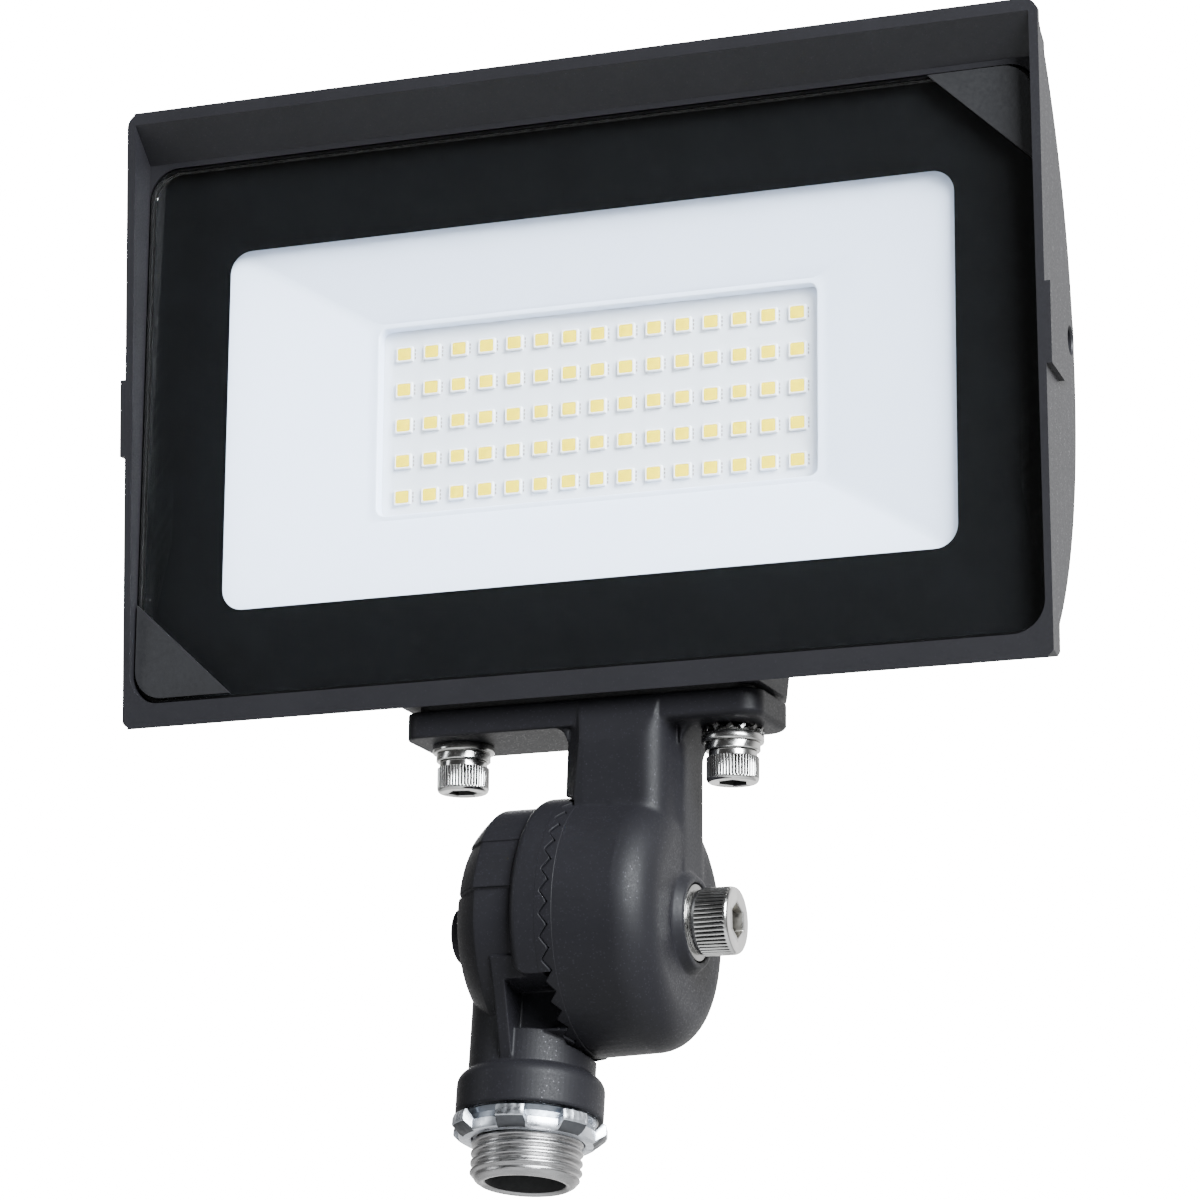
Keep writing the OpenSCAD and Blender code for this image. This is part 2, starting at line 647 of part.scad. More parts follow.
module clamp_bolt() {
  color("#b0b2b4") in_base() difference() {
    union() {
      cyl_x(4.0, -24, 20.8);
      cyl_x(6.5, 20.75, 28.2);
      translate([28.2, 0, 0]) rotate([0, 90, 0]) cylinder(r1 = 6.5, r2 = 6.0, h = 0.5);
    }
    translate([24.6, 0, 0]) rotate([0, 90, 0]) rotate([0, 0, 12]) cylinder(d = 6 / cos(30), h = 6, $fn = 6);
  }
}

module clamp_washer() {
  color("#9a9c9e") in_base() difference() { cyl_x(7.3, 19.95, 20.75); cyl_x(4.2, 19, 22); }
}

// pressed locknut with eight lugs bent up against the box wall
module conduit_locknut() {
  color("#c3c6cb") difference() {
    union() {
      translate([0, 0, -4.7]) cylinder(r = 12.9, h = 2.6);
      translate([0, 0, -2.2]) cylinder(r = 12.4, h = 1.9);
      for (i = [0:6]) rotate([0, 0, i * 360 / 7 + 20.5])
        translate([11.4, -2.6, -4.5]) rotate([0, -38, 0]) cube([4.4, 5.2, 1.8]);
    }
    translate([0, 0, -10]) cylinder(r = nipple_r - 0.3, h = 20);
    translate([0, 0, -0.3]) cylinder(r = 30, h = 20);
    translate([0, 0, -24.8]) cylinder(r = 30, h = 20);
  }
}

housing();
rear_cover();
rear_cover_gasket();
rear_cover_screws();
glass();
glass_border();
glass_gasket();
corner_plates();
reflector();
reflector_screws();
led_board();
leds();
led_board_screws();
driver();
driver_screws();
led_leads();
wire_grommet();
ground_screw();
bracket_gasket();
knuckle_upper();
head_bolts();
head_flat_washers();
head_spring_washers();
head_star_washer();
knuckle_lower();
knuckle_seal();
clamp_bolt();
clamp_washer();
conduit_locknut();
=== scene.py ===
import bpy, bmesh, math
from mathutils import Matrix, Vector


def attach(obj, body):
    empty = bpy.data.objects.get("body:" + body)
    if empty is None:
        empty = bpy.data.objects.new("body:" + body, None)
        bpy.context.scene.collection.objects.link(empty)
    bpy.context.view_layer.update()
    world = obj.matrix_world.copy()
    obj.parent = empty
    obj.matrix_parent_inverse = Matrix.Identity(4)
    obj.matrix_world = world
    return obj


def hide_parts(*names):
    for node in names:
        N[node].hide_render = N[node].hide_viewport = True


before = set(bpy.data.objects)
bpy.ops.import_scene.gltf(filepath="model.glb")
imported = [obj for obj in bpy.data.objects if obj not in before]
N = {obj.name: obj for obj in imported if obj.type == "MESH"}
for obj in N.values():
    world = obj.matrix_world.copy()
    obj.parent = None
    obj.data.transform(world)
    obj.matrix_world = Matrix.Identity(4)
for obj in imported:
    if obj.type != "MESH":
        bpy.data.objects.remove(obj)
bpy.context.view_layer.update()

MM = 0.001
BACK_LIGHT = 18.0                     # lit paper behind the part
ROOM_BACK = 1.5                       # more of it behind the part
ROOM_LIGHT = 0.22                     # the room all round
ROOM_DARK = 0.07                      # the room in front of the glass

# ------------------------------------------------------------------ places
KX, KZ = 11.2, 36.9                   # knuckle axis and housing centre, mm
TILT = math.radians(7.5)              # the head's tilt at rest
HEAD = Matrix.Translation((KX * MM, 0, KZ * MM)) @ Matrix.Rotation(TILT, 4, "X")
BASE = Matrix.Translation((KX * MM, 0, KZ * MM))


# ------------------------------------------------------------------ camera
def rot(axis, a):
    return Matrix.Rotation(a, 3, axis)


yaw, pitch, roll = -0.369346853, -0.244096381, 0.00739721
T = Vector((-0.870280622, 62.5163939, 879.568596))
R0 = Matrix(((1, 0, 0), (0, 0, -1), (0, 1, 0)))
M = rot("Z", roll) @ rot("X", pitch) @ R0 @ rot("Z", yaw) @ rot("X", -TILT)
where = -(M.transposed() @ T) + Vector((KX, 0, KZ))
cam_data = bpy.data.cameras.new("camera")
cam_data.sensor_width = 36
cam_data.sensor_height = 36
cam_data.sensor_fit = "HORIZONTAL"
cam_data.lens = 4625.57267 / 1200 * 36
cam_data.clip_start = 0.05
cam_data.clip_end = 50
cam = bpy.data.objects.new("camera", cam_data)
bpy.context.scene.collection.objects.link(cam)
right, down, fwd = (Vector(M[i]) for i in range(3))
world_rot = Matrix((right, -down, -fwd)).transposed()
cam.matrix_world = Matrix.Translation(where * MM) @ world_rot.to_4x4()
bpy.context.scene.camera = cam


# ------------------------------------------------------------------ materials
def new_mat(name):
    m = bpy.data.materials.new(name)
    m.use_nodes = True
    nt = m.node_tree
    for n in list(nt.nodes):
        nt.nodes.remove(n)
    out = nt.nodes.new("ShaderNodeOutputMaterial")
    p = nt.nodes.new("ShaderNodeBsdfPrincipled")
    nt.links.new(p.outputs[0], out.inputs[0])
    return m, nt, p, out


def node(nt, kind, **values):
    n = nt.nodes.new(kind)
    for k, v in values.items():
        if hasattr(n, k) and k not in n.inputs:
            setattr(n, k, v)
        else:
            n.inputs[k].default_value = v
    return n


def coords(nt, scale=(1, 1, 1), turn=(0, 0, 0)):
    tc = nt.nodes.new("ShaderNodeTexCoord")
    mp = nt.nodes.new("ShaderNodeMapping")
    mp.inputs["Scale"].default_value = scale
    mp.inputs["Rotation"].default_value = turn
    nt.links.new(tc.outputs["Object"], mp.inputs["Vector"])
    return mp.outputs["Vector"]


def noise(nt, vec, scale, detail=2.0, rough=0.5, kind="ShaderNodeTexNoise"):
    n = nt.nodes.new(kind)
    n.inputs["Scale"].default_value = scale
    if "Detail" in n.inputs:
        n.inputs["Detail"].default_value = detail
    if "Roughness" in n.inputs:
        n.inputs["Roughness"].default_value = rough
    nt.links.new(vec, n.inputs["Vector"])
    return n


def ramp(nt, fac, stops):
    r = nt.nodes.new("ShaderNodeValToRGB")
    els = r.color_ramp.elements
    while len(els) > 1:
        els.remove(els[-1])
    els[0].position, els[0].color = stops[0][0], stops[0][1]
    for pos, col in stops[1:]:
        el = els.new(pos)
        el.color = col
    nt.links.new(fac, r.inputs["Fac"])
    return r.outputs["Color"]


def spread(nt, fac, lo, hi, a=0.0, b=1.0):
    m = nt.nodes.new("ShaderNodeMapRange")
    m.inputs["From Min"].default_value = a
    m.inputs["From Max"].default_value = b
    m.inputs["To Min"].default_value = lo
    m.inputs["To Max"].default_value = hi
    nt.links.new(fac, m.inputs["Value"])
    return m.outputs["Result"]


def bump(nt, p, height, strength, distance, normal=None):
    b = nt.nodes.new("ShaderNodeBump")
    b.inputs["Strength"].default_value = strength
    b.inputs["Distance"].default_value = distance
    nt.links.new(height, b.inputs["Height"])
    if normal is not None:
        nt.links.new(normal, b.inputs["Normal"])
    nt.links.new(b.outputs["Normal"], p.inputs["Normal"])
    return b.outputs["Normal"]


def gray(v, tint=(1, 1, 1)):
    return (v * tint[0], v * tint[1], v * tint[2], 1)


def powder_coat(name, base=0.0098, tint=(1, 0.975, 1.2), rough=0.5, flakes=1.0):
    """Satin powder coat: soft mottling, a fine pebbled skin, and sparse fine flakes that catch the lamps."""
    m, nt, p, out = new_mat(name)
    v = coords(nt)
    soft = noise(nt, v, 60, 3)
    fine = noise(nt, v, 2300, 2, 0.6)
    cell = nt.nodes.new("ShaderNodeTexVoronoi")
    cell.inputs["Scale"].default_value = 2900
    nt.links.new(v, cell.inputs["Vector"])
    sep = nt.nodes.new("ShaderNodeSeparateColor")
    nt.links.new(cell.outputs["Color"], sep.inputs["Color"])
    pick = spread(nt, sep.outputs["Red"], 0, 1, 0.86, 0.9)
    near = spread(nt, cell.outputs["Distance"], 1, 0, 0.2, 0.45)
    flake = nt.nodes.new("ShaderNodeMath")
    flake.operation = "MULTIPLY"
    nt.links.new(pick, flake.inputs[0])
    nt.links.new(near, flake.inputs[1])
    col = ramp(nt, soft.outputs["Fac"], [(0.3, gray(base * 0.9, tint)), (0.7, gray(base * 1.12, tint))])
    mix = nt.nodes.new("ShaderNodeMix")
    mix.data_type = "RGBA"
    nt.links.new(flake.outputs[0], mix.inputs["Factor"])
    nt.links.new(col, mix.inputs["A"])
    mix.inputs["B"].default_value = gray(0.03 * flakes, tint)
    nt.links.new(mix.outputs["Result"], p.inputs["Base Color"])
    nt.links.new(spread(nt, flake.outputs[0], 0.0, 0.35), p.inputs["Metallic"])
    skin = spread(nt, fine.outputs["Fac"], rough - 0.05, rough + 0.07, 0.3, 0.7)
    rr_ = nt.nodes.new("ShaderNodeMix")
    rr_.data_type = "FLOAT"
    nt.links.new(flake.outputs[0], rr_.inputs["Factor"])
    nt.links.new(skin, rr_.inputs["A"])
    rr_.inputs["B"].default_value = 0.24
    nt.links.new(rr_.outputs["Result"], p.inputs["Roughness"])
    bump(nt, p, fine.outputs["Fac"], 0.3, 0.00002)
    p.inputs["Specular IOR Level"].default_value = 0.4
    return m


def steel(name, base=0.62, tint=(1, 0.99, 0.97), rough=0.16, fine_scale=900, streak=(1, 1, 1), tarnish=0.0):
    """Bright metal with slight variation in colour and gloss."""
    m, nt, p, out = new_mat(name)
    v = coords(nt, streak)
    soft = noise(nt, v, 180, 3)
    fine = noise(nt, v, fine_scale, 2, 0.6)
    col = ramp(nt, soft.outputs["Fac"], [(0.3, gray(base * (0.88 - tarnish), tint)), (0.72, gray(base * 1.08, tint))])
    nt.links.new(col, p.inputs["Base Color"])
    p.inputs["Metallic"].default_value = 1.0
    nt.links.new(spread(nt, fine.outputs["Fac"], rough * 0.75, rough * 1.4, 0.3, 0.7), p.inputs["Roughness"])
    bump(nt, p, fine.outputs["Fac"], 0.05, 0.00001)
    return m


def plain(name, color, rough=0.6, var=0.08, scale=120, bump_scale=1400, bump_strength=0.15, metallic=0.0, coat=0.0):
    """A moulded or painted surface with a little variation."""
    m, nt, p, out = new_mat(name)
    v = coords(nt)
    soft = noise(nt, v, scale, 3)
    fine = noise(nt, v, bump_scale, 2, 0.5)
    lo = tuple(c * (1 - var) for c in color) + (1,)
    hi = tuple(min(1, c * (1 + var)) for c in color) + (1,)
    nt.links.new(ramp(nt, soft.outputs["Fac"], [(0.3, lo), (0.7, hi)]), p.inputs["Base Color"])
    nt.links.new(spread(nt, fine.outputs["Fac"], max(0.02, rough - 0.05), min(1, rough + 0.05), 0.3, 0.7), p.inputs["Roughness"])
    bump(nt, p, fine.outputs["Fac"], bump_strength, 0.00003)
    p.inputs["Metallic"].default_value = metallic
    p.inputs["Coat Weight"].default_value = coat
    return m


def clear_glass(name):
    """Tempered glass that lets the studio lamps through to the reflector."""
    m, nt, p, out = new_mat(name)
    p.inputs["Transmission Weight"].default_value = 1.0
    p.inputs["IOR"].default_value = 1.5
    p.inputs["Base Color"].default_value = (0.985, 0.995, 0.992, 1)
    v = coords(nt)
    n = noise(nt, v, 40, 2)
    nt.links.new(spread(nt, n.outputs["Fac"], 0.0, 0.012, 0.3, 0.7), p.inputs["Roughness"])
    lp = nt.nodes.new("ShaderNodeLightPath")
    tr = nt.nodes.new("ShaderNodeBsdfTransparent")
    tr.inputs["Color"].default_value = (0.95, 0.96, 0.96, 1)
    mx = nt.nodes.new("ShaderNodeMixShader")
    nt.links.new(lp.outputs["Is Shadow Ray"], mx.inputs[0])
    nt.links.new(p.outputs[0], mx.inputs[1])
    nt.links.new(tr.outputs[0], mx.inputs[2])
    nt.links.new(mx.outputs[0], out.inputs[0])
    return m


MAT = {
    "coat": powder_coat("powder_coat_housing"),
    "cast": powder_coat("powder_coat_casting", base=0.0088, rough=0.5),
    # the nipple's bore: the coat, darkened further by painted shade
    "bore": plain("bore_coat_and_painted_shade", (0.004, 0.004, 0.0045), rough=0.6),
    "solder": plain("solder_mark", (0.22, 0.20, 0.19), rough=0.5, var=0.3, scale=1500),
    "glass": clear_glass("tempered_glass"),
    "print": plain("fired_border", (0.0012, 0.0015, 0.002), rough=0.5, var=0.15),
    "rubber": plain("black_rubber", (0.012, 0.012, 0.012), rough=0.75, bump_strength=0.3),
    "seal": plain("sealing_bead", (0.0012, 0.0012, 0.0014), rough=0.85, var=0.1),
    "corner": plain("corner_plate_satin", (0.011, 0.011, 0.0125), rough=0.5, var=0.06),
    "white": plain("reflector_white", (0.735, 0.815, 1.0), rough=0.42, var=0.008, bump_strength=0.03),
    "board": plain("board_mask", (0.70, 0.735, 0.80), rough=0.5, var=0.015, bump_strength=0.05),
    "package": plain("emitter_package", (0.93, 0.93, 0.93), rough=0.35, var=0.01),
    "phosphor": plain("emitter_phosphor", (0.86, 0.66, 0.0), rough=0.3, var=0.05, scale=500),
    "chrome": steel("polished_stainless"),
    "washer": steel("washer_steel", base=0.56, rough=0.2),
    "star": steel("star_washer_steel", base=0.30, rough=0.26),
    # the hexagon socket's inside, near black: painted shade in the recess
    "socket_dark": steel("socket_painted_shade", base=0.03, rough=0.4),
    # the clamp screw's socket inside, darker than its head: painted shade
    "socket": steel("socket_steel_painted_shade", base=0.16, tint=(1.05, 1, 0.9), rough=0.3),
    # the bottoms of the knurl grooves, near black: painted shade
    "groove": steel("knurl_groove_painted_shade", base=0.025, rough=0.5),
    "thread": steel("bare_thread", base=0.42, tint=(1, 0.985, 0.985), rough=0.3, streak=(1, 1, 9), tarnish=0.15),
    "zinc": steel("zinc_plate", base=0.74, tint=(0.94, 0.98, 1.05), rough=0.3),
    "zinc_hub": steel("zinc_hub", base=0.26, tint=(0.9, 0.98, 1.12), rough=0.34),
    # the lugs' undersides, darker zinc: painted shade
    "zinc_painted_shade": steel("zinc_painted_shade", base=0.1, tint=(0.95, 0.98, 1.05), rough=0.4),
    "driver": plain("driver_case", (0.03, 0.032, 0.035), rough=0.6),
    "red": plain("red_lead", (0.35, 0.02, 0.02), rough=0.45),
    "green": plain("green_screw", (0.08, 0.3, 0.1), rough=0.4),
}
WEAR = {
    "housing": "coat", "rear_cover": "coat", "rear_cover_gasket": "rubber", "rear_cover_screws": "chrome",
    "glass": "glass", "glass_border": "print", "glass_gasket": "rubber", "corner_plates": "corner",
    "reflector": "white", "reflector_screws": "chrome", "led_board": "board", "leds": "phosphor",
    "led_board_screws": "chrome", "driver": "driver", "driver_screws": "chrome", "led_leads": "red",
    "wire_grommet": "rubber", "ground_screw": "green", "bracket_gasket": "rubber", "knuckle_upper": "cast",
    "head_bolts": "chrome", "head_flat_washers": "washer", "head_spring_washers": "washer",
    "head_star_washer": "washer", "knuckle_lower": "cast", "knuckle_seal": "rubber",
    "clamp_bolt": "chrome", "clamp_washer": "chrome", "conduit_locknut": "zinc",
}
for key, level in (("print", 0.1), ("seal", 0.04), ("corner", 0.5), ("cast", 0.165), ("coat", 0.32), ("phosphor", 0.05)):
    for n in MAT[key].node_tree.nodes:
        if n.type == "BSDF_PRINCIPLED":
            n.inputs["Specular IOR Level"].default_value = level
for name, key in WEAR.items():
    o = N[name]
    o.data.materials.clear()
    o.data.materials.append(MAT[key])

# ------------------------------------------------------------------ pieces
def put(name, verts, faces, mat, body, node_names=(), smooth=True, place=None):
    """A new piece from millimetre coordinates, riding on a CAD body."""
    me = bpy.data.meshes.new(name)
    me.from_pydata([Vector(v) * MM for v in verts], [], faces)
    if place is not None:
        me.transform(place)
    me.update()
    bm = bmesh.new()
    bm.from_mesh(me)
    bmesh.ops.recalc_face_normals(bm, faces=bm.faces)
    bm.to_mesh(me)
    bm.free()
    for p in me.polygons:
        p.use_smooth = smooth
    o = bpy.data.objects.new(name, me)
    bpy.context.scene.collection.objects.link(o)
    me.materials.append(mat)
    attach(o, body)
    for n in node_names:
        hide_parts(n)
    return o


def crisp(o, angle=35):
    """Smooth shading that stays sharp at edges over an angle."""
    bm = bmesh.new()
    bm.from_mesh(o.data)
    for ed in bm.edges:
        ed.smooth = ed.is_manifold and ed.calc_face_angle(0) < math.radians(angle)
    bm.to_mesh(o.data)
    bm.free()


def bevelled(o, width, segments=2, angle=30, harden=False):
    m = o.modifiers.new("edge", "BEVEL")
    m.width = width * MM
    m.segments = segments
    m.limit_method = "ANGLE"
    m.angle_limit = math.radians(angle)
    m.harden_normals = harden
    return m


def lathe(profile, n=96, closed=False):
    """Vertices and faces of a profile of (radius, z) turned about Z."""
    verts, faces, rows = [], [], []
    for r, z in profile:
        if r < 1e-6:
            rows.append([len(verts)])
            verts.append((0, 0, z))
        else:
            rows.append(list(range(len(verts), len(verts) + n)))
            verts += [(r * math.cos(2 * math.pi * i / n), r * math.sin(2 * math.pi * i / n), z) for i in range(n)]
    pairs = list(zip(rows[:-1], rows[1:])) + ([(rows[-1], rows[0])] if closed else [])
    for a, b in pairs:
        for i in range(n):
            j = (i + 1) % n
            if len(a) == 1 and len(b) > 1:
                faces.append((a[0], b[i], b[j]))
            elif len(b) == 1 and len(a) > 1:
                faces.append((a[i], a[j], b[0]))
            elif len(a) > 1:
                faces.append((a[i], a[j], b[j], b[i]))
    return verts, faces


def turn_to_x():
    """Local +Z becomes +X."""
    return Matrix.Rotation(math.radians(90), 4, "Y")


def mm_place(x, y, z):
    return Matrix.Translation((x * MM, y * MM, z * MM))


def recast(name, source, body, mat, voxel, passes, edit=None, frame_in=None, soften=None):
    """A cast body: the CAD node's shape, voxel remeshed and relaxed, so its edges are softly rounded."""
    me = N[source].data.copy()
    inv = frame_in.inverted() if frame_in is not None else Matrix.Identity(4)
    me.transform(inv)
    bm = bmesh.new()
    bm.from_mesh(me)
    if edit:
        edit(bm)
    bm.to_mesh(me)
    bm.free()
    raw = bpy.data.objects.new(name + "_raw", me)
    bpy.context.scene.collection.objects.link(raw)
    rm = raw.modifiers.new("voxels", "REMESH")
    rm.mode = "VOXEL"
    rm.voxel_size = voxel * MM
    rm.use_smooth_shade = True
    sm = raw.modifiers.new("relax", "SMOOTH")
    sm.factor = 0.5
    sm.iterations = passes
    dg = bpy.context.evaluated_depsgraph_get()
    out = bpy.data.meshes.new_from_object(raw.evaluated_get(dg))
    bpy.data.objects.remove(raw)
    if soften:
        # wide blends are relaxed further, the rest keeps its edges
        bm = bmesh.new()
        bm.from_mesh(out)
        chosen = [v for v in bm.verts if soften(v.co / MM)]
        for _ in range(45):
            bmesh.ops.smooth_vert(bm, verts=chosen, factor=0.5, use_axis_x=True, use_axis_y=True, use_axis_z=True)
        bm.to_mesh(out)
        bm.free()
    out.name = name
    if frame_in is not None:
        out.transform(frame_in)
    out.materials.clear()
    out.materials.append(mat)
    for p in out.polygons:
        p.use_smooth = True
    o = bpy.data.objects.new(name, out)
    bpy.context.scene.collection.objects.link(o)
    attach(o, body)
    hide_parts(source)
    return o


XS = -1.0                              # plane of the serrations
GLASS_FRONT = -12.0                    # front face of the glass
LIP_UP = 1.2                           # the reflector's opening reaches this much higher above than below


def level_teeth(x_face, keep_above):
    """Press the low CAD serrations flat, so that the full ones can stand there."""
    def run(bm):
        for v in bm.verts:
            x, y, z = v.co / MM
            if 19.4 < math.hypot(y, z) < 25.3 and abs(x - XS) < 1.2:
                if keep_above and x < x_face:
                    v.co.x = x_face * MM
                if not keep_above and x > x_face:
                    v.co.x = x_face * MM
    return run


def lower_edit(bm):
    level_teeth(-1.86, False)(bm)
    # the nipple is bare metal, so it is a piece of its own
    cut = -KZ * MM
    geom = bm.verts[:] + bm.edges[:] + bm.faces[:]
    res = bmesh.ops.bisect_plane(bm, geom=geom, plane_co=(0, 0, cut + 0.00002), plane_no=(0, 0, -1), clear_outer=True, dist=1e-7)
    edges = [g for g in res["geom_cut"] if isinstance(g, bmesh.types.BMEdge)]
    bmesh.ops.triangle_fill(bm, edges=edges, use_beauty=True)


lower = recast("knuckle_lower_casting", "knuckle_lower", "base", MAT["cast"], 0.2, 3, lower_edit, BASE)
upper = recast("knuckle_upper_casting", "knuckle_upper", "head", MAT["cast"], 0.27, 4, level_teeth(-0.14, True), HEAD,
               soften=lambda c: c.x > 12.2 and 3 < c.z < 38 and math.hypot(c.y, c.z) > 12 or (c.x > 7 and 19 < c.z < 29 and c.y < -9)
               or (c.x > 8 and 28 < c.z < 35.5 and c.y < 6))


def tooth_ring(name, body, mat, r_out, r_in, x_back, side, gap, spans, node):
    """A ring of radial teeth. Angles run from +Z towards the front; the turning half's tips are at 0, 10, 20 degrees."""
    verts, faces = [], []
    h = 0.82
    for a0, a1 in spans:
        first = len(verts)
        n = int(round((a1 - a0) / 1.25))
        whole = abs(a1 - a0 - 360) < 0.01
        count = n if whole else n + 1
        for i in range(count):
            a = a0 + (a1 - a0) * i / n
            t = (a / 10.0) % 1.0
            tri = 1 - 4 * abs(t - 0.5)             # -1 at the turning half's tips, 1 between them
            rad = math.radians(a)
            s, c = -math.sin(rad), math.cos(rad)
            for r in (r_out, r_in):
                x = XS + h * tri * (0.55 + 0.45 * r / r_out) + side * gap
                verts.append((x, r * s, r * c))
            for r in (r_in, r_out):
                verts.append((x_back, r * s, r * c))
        for i in range(count if whole else count - 1):
            p = first + 4 * i
            q = first + 4 * ((i + 1) % count)
            for k in range(4):
                m = (k + 1) % 4
                faces.append((p + k, q + k, q + m, p + m))
        if not whole:
            p, q = first, first + 4 * (count - 1)
            faces += [(p, p + 1, p + 2, p + 3), (q + 3, q + 2, q + 1, q)]
    o = put(name, verts, faces, mat, body, [node], place=BASE)
    crisp(o, 30)
    bevelled(o, 0.09, 2, 30)
    return o


tooth_ring("lower_teeth", "base", MAT["cast"], 25.12, 19.7, -2.7, -1, 0.07, [(155.5 - 360, 125.4)], "knuckle_lower")
tooth_ring("upper_teeth", "head", MAT["cast"], 24.64, 19.7, 0.7, 1, 0.07, [(0, 360)], "knuckle_upper")


# nipple: a rolled half-inch thread, 14 turns to the inch, and the bare seat under the collar
def nipple():
    pitch, n, crest, root, bore = 25.4 / 14, 120, 10.6, 9.85, 7.6
    top, bottom = 0.3, -12.7
    zs = []
    z = bottom
    while z < top - 1e-6:
        zs.append(z)
        z += pitch / 12
    zs.append(top)
    verts, faces = [], []

    def radius(z, a):
        ph = (z / pitch - a / (2 * math.pi)) % 1.0
        w = abs(ph - 0.5) * 2                       # 0 at the crest, 1 at the root
        k = min(1.0, max(0.0, (w - 0.16) / 0.66))
        r = crest - (crest - root) * (k * k * (3 - 2 * k))
        if z > -0.6:
            r = 10.45
        lead = bottom + 1.7                         # lead-in at the free end
        if z < lead:
            r = min(r, crest - 0.1 - (lead - z) * 0.8 - max(0, (bottom + 0.5 - z)) * 0.8)
        return r

    rows = []
    for z in zs:
        rows.append(list(range(len(verts), len(verts) + n)))
        for i in range(n):
            a = 2 * math.pi * i / n
            r = radius(z, a)
            verts.append((r * math.cos(a), r * math.sin(a), z))
    # bare ring under the collar, closed over the thread's top
    tail = [(13.0, top), (13.05, 0.25), (13.05, -0.03), (12.95, -0.06), (10.46, -0.06)]
    ring = []
    for r, z in tail[::-1]:
        ring.append(list(range(len(verts), len(verts) + n)))
        verts.extend([(r * math.cos(2 * math.pi * i / n), r * math.sin(2 * math.pi * i / n), z) for i in range(n)])
    inner = []
    for r, z in [(bore, top), (bore, bottom + 0.5), (bore + 0.45, bottom)]:
        inner.append(list(range(len(verts), len(verts) + n)))
        verts.extend([(r * math.cos(2 * math.pi * i / n), r * math.sin(2 * math.pi * i / n), z) for i in range(n)])
    # the thread stops at the bare ring's underside
    stop = max(i for i, z in enumerate(zs) if z < -0.2)
    chain = rows[:stop + 1] + ring + inner + [rows[0]]
    for a, b in zip(chain[:-1], chain[1:]):
        for i in range(n):
            j = (i + 1) % n
            faces.append((a[i], a[j], b[j], b[i]))
    used = sorted({i for f in faces for i in f})
    remap = {k: i for i, k in enumerate(used)}
    verts2 = [verts[k] for k in used]
    faces2 = [tuple(remap[k] for k in f) for f in faces]
    o = put("nipple_thread", verts2, faces2, MAT["thread"], "base", ["knuckle_lower"])
    # the bore's faces take the near-black bore material: coat and painted shade
    o.data.materials.append(MAT["bore"])
    for p in o.data.polygons:
        if math.hypot(p.center.x, p.center.y) < (bore + 0.1) * MM:
            p.material_index = 1
    crisp(o, 50)
    return o


nipple()


# screws
def socket_head(name, body, rs, l, rh, hh, af, grooves, knurl, place, mat, nodes, turn=0.0, plain_from=1.0, depth=0.26, neck=0.06, inside="socket_dark"):
    """Socket head cap screw, seat at z = 0, head towards +Z: knurled side, rolled edge, hexagon socket."""
    n = grooves * 6
    cut = (0.0, 0.13, 0.55, 1.0, 0.55, 0.13)
    verts, faces, rows = [], [], []

    def ring(rad, z):
        rows.append(list(range(len(verts), len(verts) + n)))
        for i in range(n):
            a = 2 * math.pi * i / n
            r = rad(i, a) if callable(rad) else rad
            verts.append((r * math.cos(a), r * math.sin(a), z))

    def hexa(f=1.0):
        def rad(i, a):
            b = (a + math.radians(turn)) % math.radians(60) - math.radians(30)
            return f * af / 2 / math.cos(b)
        return rad

    tip = len(verts)
    verts.append((0, 0, -l))
    ring(rs - 0.5, -l)
    ring(rs, -l + 0.5)
    ring(rs, 0.0)
    ring(rh - neck - 0.25, 0.0)
    ring(rh - neck - 0.04, 0.1)
    ring(rh - neck, 0.3)
    ring(rh - neck, plain_from)
    z0, z1 = plain_from + 0.08, hh - knurl
    ring(lambda i, a: rh - depth * 0.5 * cut[i % 6], z0)
    first = len(rows) - 1
    ring(lambda i, a: rh - depth * cut[i % 6], z0 + 0.15)
    ring(lambda i, a: rh - depth * cut[i % 6], z1 - 0.15)
    ring(lambda i, a: rh - depth * 0.5 * cut[i % 6], z1)
    last = len(rows) - 1
    e1 = hh - z1
    for k in range(1, 6):
        a = math.pi / 2 * k / 5
        ring(rh - 0.04 - e1 * 0.8 * (1 - math.cos(a)), z1 + e1 * math.sin(a))
    ring(hexa(1.05), hh)
    ring(hexa(1.0), hh - 0.14)
    ring(hexa(1.0), hh * 0.48)
    ring(af * 0.2, hh * 0.40)
    dark, inner = [], []
    for k, (a, b) in enumerate(zip(rows[:-1], rows[1:])):
        # the socket's walls and floor take the inside material, painted shade
        if k >= len(rows) - 3:
            inner += range(len(faces), len(faces) + n)
        for i in range(n):
            j = (i + 1) % n
            # groove bottoms take the dark groove material, painted shade
            if first <= k < last and i % 6 in (2, 3):
                dark.append(len(faces))
            faces.append((a[i], a[j], b[j], b[i]))
    faces += [(tip, rows[0][(i + 1) % n], rows[0][i]) for i in range(n)]
    end = len(verts)
    verts.append((0, 0, hh * 0.37))
    inner += range(len(faces), len(faces) + n)
    faces += [(rows[-1][i], rows[-1][(i + 1) % n], end) for i in range(n)]
    o = put(name, verts, faces, mat, body, nodes, place=place)
    o.data.materials.append(MAT["groove"])
    o.data.materials.append(MAT[inside])
    for i in dark:
        o.data.polygons[i].material_index = 1
    for i in inner:
        o.data.polygons[i].material_index = 2
    crisp(o, 50)
    return o


